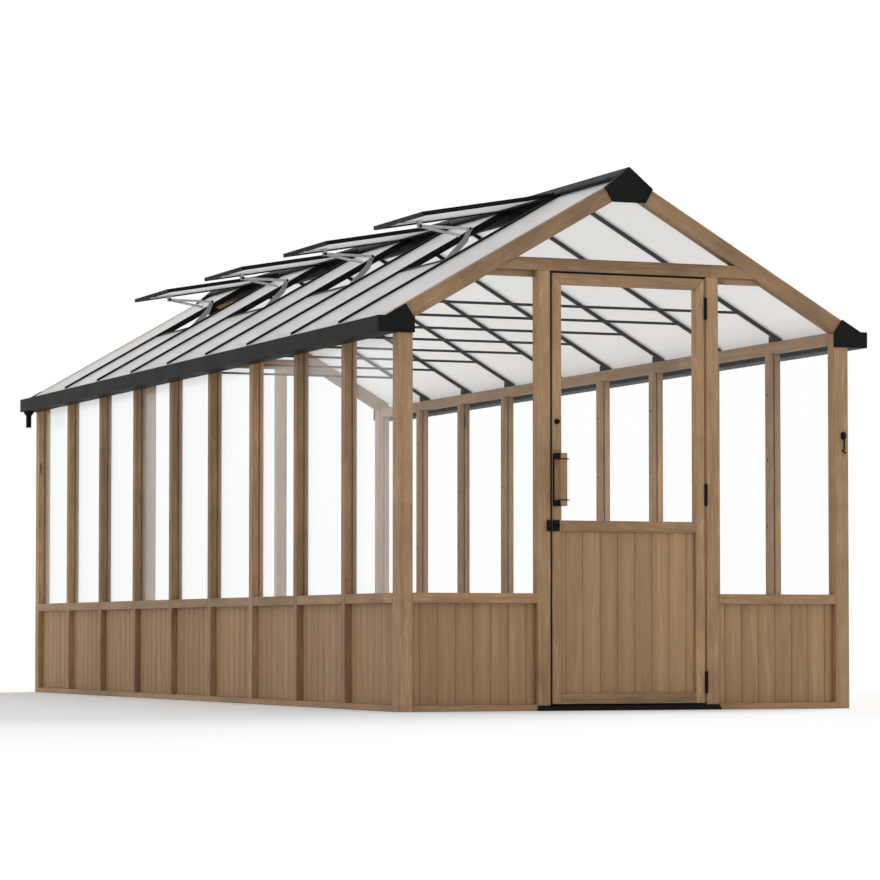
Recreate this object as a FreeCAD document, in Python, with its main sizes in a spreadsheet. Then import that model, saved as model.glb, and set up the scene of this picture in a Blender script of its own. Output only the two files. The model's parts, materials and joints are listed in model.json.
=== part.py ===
"""Wooden greenhouse with a boarded base, clear walls, a sheeted roof, one door and four roof vents.

Frame: +Z up, origin on the ground at the middle of the footprint, door end towards -Y,
vented slope towards -X. Millimetres and degrees. The vents are drawn open and the door closed.
"""
import FreeCAD, Part
import Sketcher
import math
import os

BAYS = 9
VENTS = 4
LEFT, RIGHT = -1, 1

SIZES = {
    # Walls
    "wall_width": 2260, "wall_length": 6060, "corner_post": 70, "stud_width": 50, "wall_depth": 60,
    "gable_post": 62, "doorway": 784, "sill_height": 28, "rail_height": 45, "rail_top": 530,
    "plate_height": 53, "plate_drop": 34.6, "tie_height": 58, "tie_drop": 457,
    "setback": 31, "pane_thick": 4, "board_thick": 14, "board_cover": 86.5, "board_bevel": 3,
    "board_gap": 0.4, "bead_height": 27,
    # Roof
    "roof_pitch": 30, "apex_height": 2449, "rafter_depth": 72, "rafter_gap": 0.4,
    "bar_width": 22, "bar_depth": 20, "bar_reach": 20, "strip_width": 26, "strip_height": 10,
    "sheet_thick": 6, "sheet_reach": 35, "foot_width": 44, "foot_depth": 40,
    "ridge_beam": 40, "ridge_beam_depth": 62, "ridge_width": 100, "ridge_rise": 34, "ridge_drop": 40,
    "metal": 3, "cap_plate": 12, "cap_lip": 15, "ridge_cut": 136, "ridge_cover": 4,
    "eave_back": 38, "eave_cover": 2, "eave_margin": 6,
    "gutter_width": 98, "gutter_height": 74, "gutter_back": 10,
    "outlet_collar": 30, "outlet_radius": 16, "outlet_bore": 13, "outlet_depth": 97,
    "outlet_collar_height": 8, "outlet_taper": 20, "outlet_inset": 60, "outlet_off": 64,
    "collar_drop": 549, "collar_height": 13, "collar_thick": 6, "collar_lap": 2,
    # Vents and their openers
    "hinge_down": 70, "hinge_up": 21, "vent_slope": 10, "vent_length": 669, "vent_rail": 24,
    "vent_height": 20, "vent_head": 16, "vent_heel": 8, "vent_side_gap": 6,
    "rod_radius": 5, "lug_width": 8, "lug_length": 22, "lug_height": 22, "running": 0.05,
    "trimmer_lap": 87, "trimmer_width": 40,
    "opener_pin": 4, "opener_ear": 4, "opener_plate": 3, "ear_room": 1.5, "arm_thick": 5, "link_thick": 4,
    "base_back": 2, "base_drop": 56, "arm_run": 177, "arm_rise": 219.5, "arm_half": 9, "arm_plate": 14,
    "arm_bend": 30,
    "bracket_back": 107, "bracket_drop": 38, "link_half": 7, "brace_run": 200, "brace_drop": 34,
    # Door and its fittings
    "door_gap": 10, "door_thick": 44, "stile": 45, "top_rail": 50, "lock_rail": 50, "lock_rail_top": 860,
    "bottom_rail": 48, "door_bottom": 30, "door_setback": 15, "door_board": 12,
    "door_first": 25,
    "sill_ramp": 25, "sill_step": 25, "sill_nose": 8, "stop_top": 42, "stop_thick": 13, "stop_gap": 3,
    "hinge_length": 100, "hinge_first": 125, "hinge_last": 137, "hinge_leaf": 32, "hinge_metal": 2,
    "knuckle_radius": 6.5, "knuckle_out": 7, "knuckle_length": 40, "knuckle_gap": 0.5, "hinge_pin": 3,
    "handle_inset": 30, "handle_width": 34, "handle_depth": 26, "handle_reach": 64, "handle_above": 63,
    "handle_length": 239, "foot_tall": 26, "foot_wide": 40, "strap": 2, "strap_height": 5, "strap_inset": 27,
    "strap_tail": 8, "backplate_width": 8, "backplate_edge": 1,
    "eye_inset": 21, "eye_height": 1307, "eye_base": 12, "eye_plate": 4, "eye_stem": 4, "eye_head": 9,
    "eye_reach": 18,
    "latch_tall": 50, "latch_deep": 13, "latch_case": 30, "keeper_width": 16,
    "keeper_gap": 3, "bolt_tall": 20, "bolt_thick": 5, "bolt_long": 30, "bolt_floor": 3.5, "bolt_play": 0.3,
    "bolt_tab": 8, "bolt_tab_tall": 10, "bolt_tab_reach": 20,
    "hook_inset": 27, "hook_height": 1273, "hook_plate": 12, "hook_plate_rise": 7, "hook_plate_thick": 5,
    "hook_pin": 2.5,
    "hook_out": 11, "hook_eye": 4.5, "hook_ear": 3.5, "hook_side_gap": 0.5, "hook_length": 84,
    "hook_shank": 3, "hook_tip": 12,
}

doc = FreeCAD.newDocument("greenhouse")
sheet = doc.addObject("Spreadsheet::Sheet", "Sizes")
for row, (alias, number) in enumerate(SIZES.items(), start=1):
    sheet.set(f"A{row}", alias)
    sheet.set(f"B{row}", str(number))
    sheet.setAlias(f"B{row}", alias)
doc.recompute()


class Size:
    """A number kept together with the sheet formula that gives it."""

    def __init__(self, value, text):
        self.value = float(value)
        self.text = text

    def __add__(self, other):
        other = size(other)
        return Size(self.value + other.value, f"({self.text} + {other.text})")

    def __sub__(self, other):
        other = size(other)
        return Size(self.value - other.value, f"({self.text} - {other.text})")

    def __mul__(self, other):
        other = size(other)
        return Size(self.value * other.value, f"({self.text} * {other.text})")

    def __truediv__(self, other):
        other = size(other)
        return Size(self.value / other.value, f"({self.text} / {other.text})")

    def __neg__(self):
        return Size(-self.value, f"(-{self.text})")

    def __radd__(self, other):
        return size(other) + self

    def __rsub__(self, other):
        return size(other) - self

    def __rmul__(self, other):
        return size(other) * self


def size(number):
    """Give a plain number as a Size; a Size comes back unchanged."""
    if isinstance(number, Size):
        return number
    return Size(number, f"({number})")


def cell(alias):
    """Read one driving dimension from the sheet."""
    return Size(sheet.get(alias), f"Sizes.{alias}")


def cosine(angle):
    return Size(math.cos(math.radians(angle.value)), f"cos({angle.text})")


def sine(angle):
    return Size(math.sin(math.radians(angle.value)), f"sin({angle.text})")


def root(square):
    return Size(math.sqrt(square.value), f"sqrt({square.text})")


class Round:
    """A circle in a sketch, given by its centre and radius."""

    def __init__(self, across, up, radius):
        self.across = size(across)
        self.up = size(up)
        self.radius = size(radius)


def rectangle(a0, b0, a1, b1):
    """Four corners of an upright rectangle from its low and high corner."""
    return [(a0, b0), (a1, b0), (a1, b1), (a0, b1)]


def origin_feature(body, role):
    return next(item for item in body.Origin.OriginFeatures if item.Role == role)


def sketch_on(body, plane, loops, start):
    """Draw closed loops on an origin plane of the body, with every corner bound to the sheet."""
    sketch = body.newObject("Sketcher::SketchObject", f"{body.Name}_sketch")
    sketch.AttachmentSupport = (origin_feature(body, f"{plane}_Plane"), [""])
    sketch.MapMode = "FlatFace"
    offset = -size(start) if plane == "XZ" else size(start)
    sketch.setExpression("AttachmentOffset.Base.z", offset.text)
    lines, joins, bound = [], [], []
    for loop in loops:
        first = len(lines)
        if isinstance(loop, Round):
            centre = FreeCAD.Vector(loop.across.value, loop.up.value, 0)
            lines.append(Part.Circle(centre, FreeCAD.Vector(0, 0, 1), loop.radius.value))
            bound.append(("DistanceX", (-1, 1, first, 3), loop.across))
            bound.append(("DistanceY", (-1, 1, first, 3), loop.up))
            bound.append(("Radius", (first,), loop.radius))
            continue
        corners = [(size(a), size(b)) for a, b in loop]
        for index, (a, b) in enumerate(corners):
            after = (index + 1) % len(corners)
            start_point = FreeCAD.Vector(a.value, b.value, 0)
            end_point = FreeCAD.Vector(corners[after][0].value, corners[after][1].value, 0)
            lines.append(Part.LineSegment(start_point, end_point))
            joins.append(Sketcher.Constraint("Coincident", first + index, 2, first + after, 1))
            bound.append(("DistanceX", (-1, 1, first + index, 1), a))
            bound.append(("DistanceY", (-1, 1, first + index, 1), b))
    sketch.addGeometry(lines, False)
    sketch.addConstraint(joins)
    sketch.addConstraint([Sketcher.Constraint(kind, *where, value.value) for kind, where, value in bound])
    for index, (_, _, value) in enumerate(bound, start=len(joins)):
        sketch.setExpression(f"Constraints[{index}]", value.text)
    return sketch


def new_body(label):
    body = doc.addObject("PartDesign::Body", label)
    body.Label = label
    return body


def pad(body, plane, loops, start, length):
    """Extrude loops along the plane's positive axis, from start over length."""
    feature = body.newObject("PartDesign::Pad", f"{body.Name}_pad")
    feature.Profile = sketch_on(body, plane, loops, start)
    feature.setExpression("Length", size(length).text)
    feature.Reversed = plane == "XZ"
    body.Tip = feature
    return feature


def repeat(body, features, axis, pitch, count):
    """Copy features along an origin axis of the body, count times in all."""
    pattern = body.newObject("PartDesign::LinearPattern", f"{body.Name}_row")
    pattern.Originals = features
    pattern.Direction = (origin_feature(body, f"{axis}_Axis"), [""])
    pattern.setExpression("Length", (size(pitch) * (count - 1)).text)
    pattern.Occurrences = count
    body.Tip = pattern
    return pattern


def prism(label, plane, loops, start, length, row=None):
    """One body made of a single pad, with an optional row of copies given as axis, pitch, count."""
    body = new_body(label)
    feature = pad(body, plane, loops, start, length)
    if row:
        repeat(body, [feature], *row)
    return body


def group(label, members):
    """Keep several bodies as one named set of separate solids."""
    compound = doc.addObject("Part::Compound", label)
    compound.Label = label
    compound.Links = members
    return compound


PARTS = []


def keep(*parts):
    PARTS.extend(parts)


# Positions that the pieces share
HALF_W = cell("wall_width") / 2
LENGTH = cell("wall_length")
POST = cell("corner_post")
STUD = cell("stud_width")
DEPTH = cell("wall_depth")
FRONT = (cell("handle_reach") - LENGTH - cell("cap_plate")) / 2
REAR = FRONT + LENGTH
CLEAR = (LENGTH - POST * 2 - STUD * (BAYS - 1)) / BAYS
PITCH = CLEAR + STUD
BAY_START = FRONT + POST
FIRST_BAR = BAY_START + CLEAR + STUD / 2
SILL_TOP = cell("sill_height")
RAIL_TOP = cell("rail_top")
RAIL_LOW = RAIL_TOP - cell("rail_height")
DOOR_SIDE = cell("doorway") / 2
GABLE_IN = HALF_W - POST
GABLE_OUT = DOOR_SIDE + cell("gable_post")
APEX = cell("apex_height")
TIE_LOW = APEX - cell("tie_drop")
TIE_TOP = TIE_LOW + cell("tie_height")
COS, SIN = cosine(cell("roof_pitch")), sine(cell("roof_pitch"))
TAN = SIN / COS
BAR_DROP = cell("bar_depth") / COS
RAFTER_DROP = cell("rafter_depth") / COS
PLATE_TOP = APEX - TAN * HALF_W - cell("plate_drop")
PLATE_LOW = PLATE_TOP - cell("plate_height")
POST_TOP = APEX - RAFTER_DROP - TAN * GABLE_IN
GUTTER_LOW = PLATE_TOP - cell("gutter_height")
GUTTER_OUT = HALF_W + cell("gutter_width")
SETBACK = cell("setback")


def roof_line(across):
    """Height of the roof line, the top of the rafters, at a distance from the middle."""
    return APEX - TAN * across


def rafter_line(height):
    """Distance from the middle at which the rafters' underside is at a height."""
    return (APEX - RAFTER_DROP - height) / TAN


def on_slope(side, down, out):
    """Point of a roof slope: down from the apex along the roof line, and out square to it."""
    down, out = size(down), size(out)
    return ((down * COS + out * SIN) * side, APEX - down * SIN + out * COS)


def mirrored(loop):
    return [(-size(a), b) for a, b in loop]


def both_sides(loop):
    return [loop, mirrored(loop)]


# Timber of the long walls
corners = [(x0, y0) for x0 in (-HALF_W, GABLE_IN) for y0 in (FRONT, REAR - POST)]
keep(prism("corner_posts", "XY", [rectangle(x0, y0, x0 + POST, y0 + POST) for x0, y0 in corners],
           0, POST_TOP))
first_stud = rectangle(HALF_W - DEPTH, BAY_START + CLEAR, HALF_W, BAY_START + PITCH)
keep(prism("side_studs", "XY", both_sides(first_stud), SILL_TOP, PLATE_LOW - SILL_TOP,
           ("Y", PITCH, BAYS - 1)))
keep(prism("wall_plates", "XY",
           both_sides(rectangle(HALF_W - DEPTH, BAY_START, HALF_W, REAR - POST)),
           PLATE_LOW, cell("plate_height")))

# Sills and mid rails run between the upright timbers of the long walls and the gables
gable_spans = [(-GABLE_IN, -GABLE_OUT), (GABLE_OUT, GABLE_IN)]
rear_spans = gable_spans + [(-DOOR_SIDE, DOOR_SIDE)]
gable_runs = [rectangle(a, FRONT, b, FRONT + DEPTH) for a, b in gable_spans]
gable_runs += [rectangle(a, REAR - DEPTH, b, REAR) for a, b in rear_spans]
keep(prism("sills", "XY",
           both_sides(rectangle(HALF_W - DEPTH, BAY_START, HALF_W, REAR - POST)) + gable_runs, 0, SILL_TOP))
mid_rails = new_body("mid_rails")
side_rail = pad(mid_rails, "XY", both_sides(rectangle(HALF_W - DEPTH, BAY_START, HALF_W, BAY_START + CLEAR)),
                RAIL_LOW, cell("rail_height"))
side_rails = repeat(mid_rails, [side_rail], "Y", PITCH, BAYS)
pad(mid_rails, "XY", gable_runs, RAIL_LOW, cell("rail_height"))
keep(mid_rails)


def board_section(start, end, face, inward, thick):
    """Section of one board with bevelled front edges, so that two neighbours make a V groove."""
    bevel = cell("board_bevel")
    back = face + size(thick) * inward
    shoulder = face + bevel * inward
    return [(start, back), (end, back), (end, shoulder), (end - bevel, face), (start + bevel, face),
            (start, shoulder)]


def board_panel(body, axis, run, faces, thick, heights, first=None):
    """Fill a run with upright boards: a row of whole ones in the middle and a cut one at each end.

    The run is a low and a high end along the axis, each face is the weather side with its inward
    direction, and heights are the lower and upper ends of the boards. Where first gives no width for
    the first board, both cut boards are equally wide.
    """
    low, high = size(run[0]), size(run[1])
    cover, gap = cell("board_cover"), cell("board_gap") / 2
    least = cover if first is None else first + cell("board_bevel") * 3
    whole = int((high.value - low.value - least.value) // cover.value)
    if first is None:
        first = (high - low - cover * whole) / 2
    last = low + first + cover * whole
    tall = heights[1] - heights[0]
    cut, row = [], []
    for face, inward in faces:
        cut.append(board_section(low, low + first - gap, face, inward, thick))
        cut.append(board_section(last + gap, high, face, inward, thick))
        row.append(board_section(low + first + gap, low + first + cover - gap, face, inward, thick))
    if axis == "Y":
        cut = [[(depth, place) for place, depth in loop] for loop in cut]
        row = [[(depth, place) for place, depth in loop] for loop in row]
    pad(body, "XY", cut, heights[0], tall)
    boards = pad(body, "XY", row, heights[0], tall)
    repeat(body, [boards], axis, cover, whole)


# Boards below the mid rails
PANEL = (SILL_TOP, RAIL_LOW)
BOARD = cell("board_thick")
side_boards = new_body("side_boards")
for bay in range(BAYS):
    bay_low = BAY_START + PITCH * bay
    board_panel(side_boards, "Y", (bay_low, bay_low + CLEAR),
                [(HALF_W - SETBACK, -1), (-HALF_W + SETBACK, 1)], BOARD, PANEL)
gable_boards = new_body("gable_boards")
for run in gable_spans:
    board_panel(gable_boards, "X", run, [(FRONT + SETBACK, 1), (REAR - SETBACK, -1)], BOARD, PANEL)
board_panel(gable_boards, "X", (-DOOR_SIDE, DOOR_SIDE), [(REAR - SETBACK, -1)], BOARD, PANEL)
keep(side_boards, gable_boards)

# Clear panes above the mid rails
pane_in = HALF_W - SETBACK - cell("pane_thick")
keep(prism("side_panes", "XY", both_sides(rectangle(pane_in, BAY_START, HALF_W - SETBACK, BAY_START + CLEAR)),
           RAIL_TOP, PLATE_LOW - RAIL_TOP, ("Y", PITCH, BAYS)))
side_window = [(GABLE_OUT, RAIL_TOP), (GABLE_IN, RAIL_TOP), (GABLE_IN, POST_TOP),
               (rafter_line(TIE_LOW), TIE_LOW), (GABLE_OUT, TIE_LOW)]
apex_window = [(-rafter_line(TIE_TOP), TIE_TOP), (rafter_line(TIE_TOP), TIE_TOP), (0, APEX - RAFTER_DROP)]
rear_window = rectangle(-DOOR_SIDE, RAIL_TOP, DOOR_SIDE, TIE_LOW)
gable_panes = new_body("gable_panes")
pad(gable_panes, "XZ", both_sides(side_window) + [apex_window], FRONT + SETBACK, cell("pane_thick"))
pad(gable_panes, "XZ", both_sides(side_window) + [apex_window, rear_window],
    REAR - SETBACK - cell("pane_thick"), cell("pane_thick"))
keep(gable_panes)

# Gable timber
keep(prism("gable_posts", "XY", both_sides(rectangle(DOOR_SIDE, FRONT, GABLE_OUT, FRONT + DEPTH))
           + both_sides(rectangle(DOOR_SIDE, REAR - DEPTH, GABLE_OUT, REAR)), 0, TIE_LOW))
ties = prism("ties", "XZ",
             [[(-rafter_line(TIE_LOW), TIE_LOW), (rafter_line(TIE_LOW), TIE_LOW),
               (rafter_line(TIE_TOP), TIE_TOP), (-rafter_line(TIE_TOP), TIE_TOP)]],
             FRONT, DEPTH, ("Y", LENGTH - DEPTH, 2))
bead_low = TIE_LOW - cell("bead_height")
bead_depth = DEPTH - SETBACK - cell("pane_thick")
bead = [(GABLE_OUT, bead_low), (rafter_line(bead_low), bead_low), (rafter_line(TIE_LOW), TIE_LOW),
        (GABLE_OUT, TIE_LOW)]
head_beads = prism("head_beads", "XZ", both_sides(bead), FRONT + DEPTH - bead_depth, bead_depth)
pad(head_beads, "XZ", both_sides(bead), REAR - DEPTH, bead_depth)
keep(group("tie_beams", [ties, head_beads]))
plumb = cell("rafter_gap") / 2
rafter = [(plumb, roof_line(plumb) - RAFTER_DROP), (GABLE_IN, POST_TOP), (HALF_W, POST_TOP),
          (HALF_W, roof_line(HALF_W)), (plumb, roof_line(plumb))]
keep(prism("gable_rafters", "XZ", both_sides(rafter), FRONT, DEPTH, ("Y", LENGTH - DEPTH, 2)))

# Ridge
ridge_half = cell("ridge_beam") / 2
beam_top = roof_line(ridge_half)
keep(prism("ridge_beam", "XZ",
           [rectangle(-ridge_half, beam_top - cell("ridge_beam_depth"), ridge_half, beam_top)],
           FRONT + DEPTH, LENGTH - DEPTH * 2))
METAL = cell("metal")
cover_half = cell("ridge_width") / 2
cover_top = APEX + cell("ridge_rise")
cover_slope = cell("ridge_drop") / cover_half
cover_inner = cover_half - METAL
strip_rise = cell("strip_height") / COS
inner_top = cover_top - root(cover_slope * cover_slope + 1) * METAL
cover = [(0, cover_top), (cover_half, cover_top - cell("ridge_drop")),
         (cover_half, roof_line(cover_half) + strip_rise), (cover_inner, roof_line(cover_inner) + strip_rise),
         (cover_inner, inner_top - cover_slope * cover_inner), (0, inner_top)]
cover += [(-a, b) for a, b in cover[4:0:-1]]
LIP = cell("cap_lip")
keep(prism("ridge_cap", "XZ", [cover], FRONT + LIP, LENGTH - LIP * 2))
shoulder_right = on_slope(RIGHT, cell("ridge_cut"), cell("ridge_cover"))
foot_right = on_slope(RIGHT, cell("ridge_cut"), -cell("rafter_depth"))
line_right = on_slope(RIGHT, cell("ridge_cut"), 0)
end_face = [(0, cover_top), shoulder_right, foot_right, *mirrored([foot_right, shoulder_right])]
end_hood = [(0, cover_top), shoulder_right, line_right, (0, APEX), *mirrored([line_right, shoulder_right])]
CAP = cell("cap_plate")
end_caps = new_body("ridge_end_caps")
for face_start, hood_start in ((FRONT - CAP, FRONT), (REAR, REAR - LIP)):
    pad(end_caps, "XZ", [end_face], face_start, CAP)
    pad(end_caps, "XZ", [end_hood], hood_start, LIP)
keep(end_caps)

# Roof bars with their cover strips, and the wedges they stand on
bar_end = HALF_W + cell("bar_reach")
bar = [(ridge_half, beam_top), (ridge_half, beam_top - BAR_DROP), (bar_end, roof_line(bar_end) - BAR_DROP),
       (bar_end, roof_line(bar_end))]
strip = [(ridge_half, beam_top), (bar_end, roof_line(bar_end)), (bar_end, roof_line(bar_end) + strip_rise),
         (ridge_half, beam_top + strip_rise)]
BAR = cell("bar_width")
roof_bars = new_body("roof_bars")
bar_pads = [pad(roof_bars, "XZ", both_sides(bar), FIRST_BAR - BAR / 2, BAR),
            pad(roof_bars, "XZ", both_sides(strip), FIRST_BAR - cell("strip_width") / 2, cell("strip_width"))]
repeat(roof_bars, bar_pads, "Y", PITCH, BAYS - 1)
keep(roof_bars)
foot_in = HALF_W - cell("foot_depth")
foot = [(foot_in, PLATE_TOP), (HALF_W, PLATE_TOP), (HALF_W, roof_line(HALF_W) - BAR_DROP),
        (foot_in, roof_line(foot_in) - BAR_DROP)]
keep(prism("bar_feet", "XZ", both_sides(foot), FIRST_BAR - cell("foot_width") / 2, cell("foot_width"),
           ("Y", PITCH, BAYS - 1)))
collar_low = APEX - cell("collar_drop")
collar_half = (cell("collar_drop") - BAR_DROP) / TAN + cell("collar_lap")
keep(prism("collar_ties", "XZ",
           [rectangle(-collar_half, collar_low, collar_half, collar_low + cell("collar_height"))],
           FIRST_BAR + BAR / 2, cell("collar_thick"), ("Y", PITCH, BAYS - 1)))

# Roof sheets: whole slopes on the right, and on the left short ones below each vent
SHEET = cell("sheet_thick")
sheet_end = HALF_W + cell("sheet_reach")
sheet_drop = SHEET / COS
whole_sheet = [(ridge_half, beam_top), (ridge_half, beam_top - sheet_drop),
               (sheet_end, roof_line(sheet_end) - sheet_drop), (sheet_end, roof_line(sheet_end))]
TRIMMER = cell("hinge_down") + cell("vent_length") - cell("trimmer_lap")
trimmer_end = TRIMMER + cell("trimmer_width")
short_sheet = [on_slope(LEFT, trimmer_end, 0), on_slope(LEFT, trimmer_end, -SHEET),
               (-sheet_end, roof_line(sheet_end) - sheet_drop), (-sheet_end, roof_line(sheet_end))]
END_SHEET = FIRST_BAR - BAR / 2 - FRONT - DEPTH
MID_SHEET = PITCH - BAR
SECOND_BAY = FIRST_BAR + BAR / 2
roof_sheets = new_body("roof_sheets")
end_sheet = pad(roof_sheets, "XZ", both_sides(whole_sheet), FRONT + DEPTH, END_SHEET)
repeat(roof_sheets, [end_sheet], "Y", LENGTH - DEPTH * 2 - END_SHEET, 2)
right_sheet = pad(roof_sheets, "XZ", [whole_sheet], SECOND_BAY, MID_SHEET)
repeat(roof_sheets, [right_sheet], "Y", PITCH, BAYS - 2)
left_sheet = pad(roof_sheets, "XZ", [mirrored(whole_sheet)], SECOND_BAY + PITCH, MID_SHEET)
repeat(roof_sheets, [left_sheet], "Y", PITCH * 2, VENTS - 1)
vent_sheet = pad(roof_sheets, "XZ", [short_sheet], SECOND_BAY, MID_SHEET)
repeat(roof_sheets, [vent_sheet], "Y", PITCH * 2, VENTS)
keep(roof_sheets)

# Gutters, the caps that close their ends, and the rear outlets
gutter_floor = rectangle(HALF_W, GUTTER_LOW, GUTTER_OUT, GUTTER_LOW + METAL)
gutter_walls = [rectangle(HALF_W, GUTTER_LOW + METAL, HALF_W + METAL, PLATE_TOP - cell("gutter_back")),
                rectangle(GUTTER_OUT - METAL, GUTTER_LOW + METAL, GUTTER_OUT, PLATE_TOP)]
outlet_x = HALF_W + cell("outlet_off")
outlet_y = REAR - cell("outlet_inset")
floors = prism("gutter_floors", "XZ", both_sides(gutter_floor), FRONT, LENGTH)
drain = floors.newObject("PartDesign::Pocket", "gutter_drain")
drain.Profile = sketch_on(floors, "XY",
                          [Round(outlet_x * side, outlet_y, cell("outlet_bore")) for side in (LEFT, RIGHT)],
                          GUTTER_LOW + METAL)
drain.setExpression("Length", METAL.text)
floors.Tip = drain
walls = prism("gutter_walls", "XZ", gutter_walls + [mirrored(loop) for loop in gutter_walls], FRONT, LENGTH)
keep(group("gutters", [floors, walls]))
eave_corner = on_slope(RIGHT, HALF_W / COS - cell("eave_back"), cell("eave_cover"))
cap_in = GABLE_IN - cell("eave_margin")
eave_cap = [(cap_in, GUTTER_LOW), (GUTTER_OUT, GUTTER_LOW), (GUTTER_OUT, PLATE_TOP),
            ((APEX + cell("eave_cover") / COS - PLATE_TOP) / TAN, PLATE_TOP), eave_corner, (cap_in, POST_TOP)]
keep(prism("eave_caps", "XZ", both_sides(eave_cap), FRONT - CAP, CAP, ("Y", LENGTH + CAP, 2)))


def outlet(name, side):
    """Funnel and spigot under a gutter, turned about its own upright axis."""
    body = new_body(name)
    collar_low = cell("outlet_collar_height")
    taper_low = collar_low + cell("outlet_taper")
    profile = [(cell("outlet_bore"), 0), (cell("outlet_collar"), 0), (cell("outlet_collar"), -collar_low),
               (cell("outlet_radius"), -taper_low), (cell("outlet_radius"), -cell("outlet_depth")),
               (cell("outlet_bore"), -cell("outlet_depth"))]
    turned = body.newObject("PartDesign::Revolution", f"{name}_turn")
    turned.Profile = sketch_on(body, "XZ", [profile], 0)
    turned.ReferenceAxis = (turned.Profile[0], ["V_Axis"])
    turned.Angle = 360
    body.Tip = turned
    for axis, place in zip("xyz", (outlet_x * side, outlet_y, GUTTER_LOW)):
        body.setExpression(f"Placement.Base.{axis}", place.text)
    return body


keep(group("gutter_outlets", [outlet("outlet_left", LEFT), outlet("outlet_right", RIGHT)]))

# Trimmers that carry the lower edge of each vent opening, and the opener bases under them
trimmer = [on_slope(LEFT, TRIMMER, 0), on_slope(LEFT, TRIMMER, -cell("bar_depth")),
           on_slope(LEFT, trimmer_end, -cell("bar_depth")), on_slope(LEFT, trimmer_end, 0)]
keep(prism("vent_trimmers", "XZ", [trimmer], SECOND_BAY, MID_SHEET, ("Y", PITCH * 2, VENTS)))

PIN = cell("opener_pin")
EAR = cell("opener_ear")
BORE = PIN + cell("running")
ARM = cell("arm_thick")
BASE_EAR = ARM / 2 + cell("ear_room")
LINK_IN = BASE_EAR
BRACKET_EAR = LINK_IN + cell("link_thick") + cell("ear_room")
FIRST_VENT = FIRST_BAR + PITCH / 2
BASE_DOWN = TRIMMER - cell("base_back")
base_pin = on_slope(LEFT, BASE_DOWN, -cell("base_drop"))
reach = cell("arm_half")
under = -cell("bar_depth")
ear_low = -cell("base_drop") - reach
base_ear = [on_slope(LEFT, BASE_DOWN - reach, ear_low), on_slope(LEFT, BASE_DOWN + reach, ear_low),
            on_slope(LEFT, trimmer_end, under), on_slope(LEFT, BASE_DOWN, under)]
base_plate = [on_slope(LEFT, TRIMMER, under),
              on_slope(LEFT, TRIMMER, under - cell("opener_plate")),
              on_slope(LEFT, trimmer_end, under - cell("opener_plate")), on_slope(LEFT, trimmer_end, under)]
opener_bases = new_body("opener_bases")
base_pads = [pad(opener_bases, "XZ", [base_plate], FIRST_VENT - BASE_EAR - EAR, (BASE_EAR + EAR) * 2),
             pad(opener_bases, "XZ", [base_ear], FIRST_VENT - BASE_EAR - EAR, EAR),
             pad(opener_bases, "XZ", [base_ear], FIRST_VENT + BASE_EAR, EAR),
             pad(opener_bases, "XZ", [Round(*base_pin, PIN)], FIRST_VENT - BASE_EAR - EAR,
                 (BASE_EAR + EAR) * 2)]
repeat(opener_bases, base_pads, "Y", PITCH * 2, VENTS)
keep(opener_bases)

# Vents, open as they stand, and the two arms that push each one up
hinge_x, hinge_z = on_slope(LEFT, cell("hinge_down"), cell("hinge_up"))
VENT_COS, VENT_SIN = cosine(cell("vent_slope")), sine(cell("vent_slope"))
VENT_HALF = cell("vent_height") / 2


def on_vent(down, out):
    """Point of the open vent: down from its hinge along the panel, and out square to it."""
    down, out = size(down), size(out)
    return (hinge_x - down * VENT_COS - out * VENT_SIN, hinge_z - down * VENT_SIN + out * VENT_COS)


def vent_box(down0, out0, down1, out1):
    return [on_vent(down0, out0), on_vent(down1, out0), on_vent(down1, out1), on_vent(down0, out1)]


def flat_bar(start, end, half, over):
    """Outline of a straight bar between two points, with its half height and its length past both ends."""
    run, rise = end[0] - start[0], end[1] - start[1]
    length = root(run * run + rise * rise)
    along_x, along_z = run / length, rise / length
    corners = []
    for point, way, up in ((start, -1, -1), (end, 1, -1), (end, 1, 1), (start, -1, 1)):
        corners.append((point[0] + along_x * over * way - along_z * half * up,
                        point[1] + along_z * over * way + along_x * half * up))
    return corners


elbow = (base_pin[0] + cell("arm_run"), base_pin[1] + cell("arm_rise"))
BRACKET_DOWN = cell("vent_length") - cell("bracket_back")
bracket_pin = on_vent(BRACKET_DOWN, -cell("bracket_drop"))
brace_end = (bracket_pin[0] + cell("brace_run"), bracket_pin[1] - cell("brace_drop"))
link_half = cell("link_half")


def arm_outline():
    """Bent plate from the base pin to the elbow, with its bend thrown out to the ridge side."""
    run, rise = cell("arm_run"), cell("arm_rise")
    length = root(run * run + rise * rise)
    ax, az = run / length, rise / length

    def at(along, aside):
        return (base_pin[0] + ax * along + az * aside, base_pin[1] + az * along - ax * aside)

    bend = length * 0.8
    thrown, wide = cell("arm_bend"), cell("arm_plate")
    return [at(-reach, -wide), at(-reach, wide), at(bend, thrown), at(length + reach, link_half),
            at(length + reach, -link_half), at(length - reach * 2, -link_half), at(bend, thrown - wide * 2)]


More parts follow.
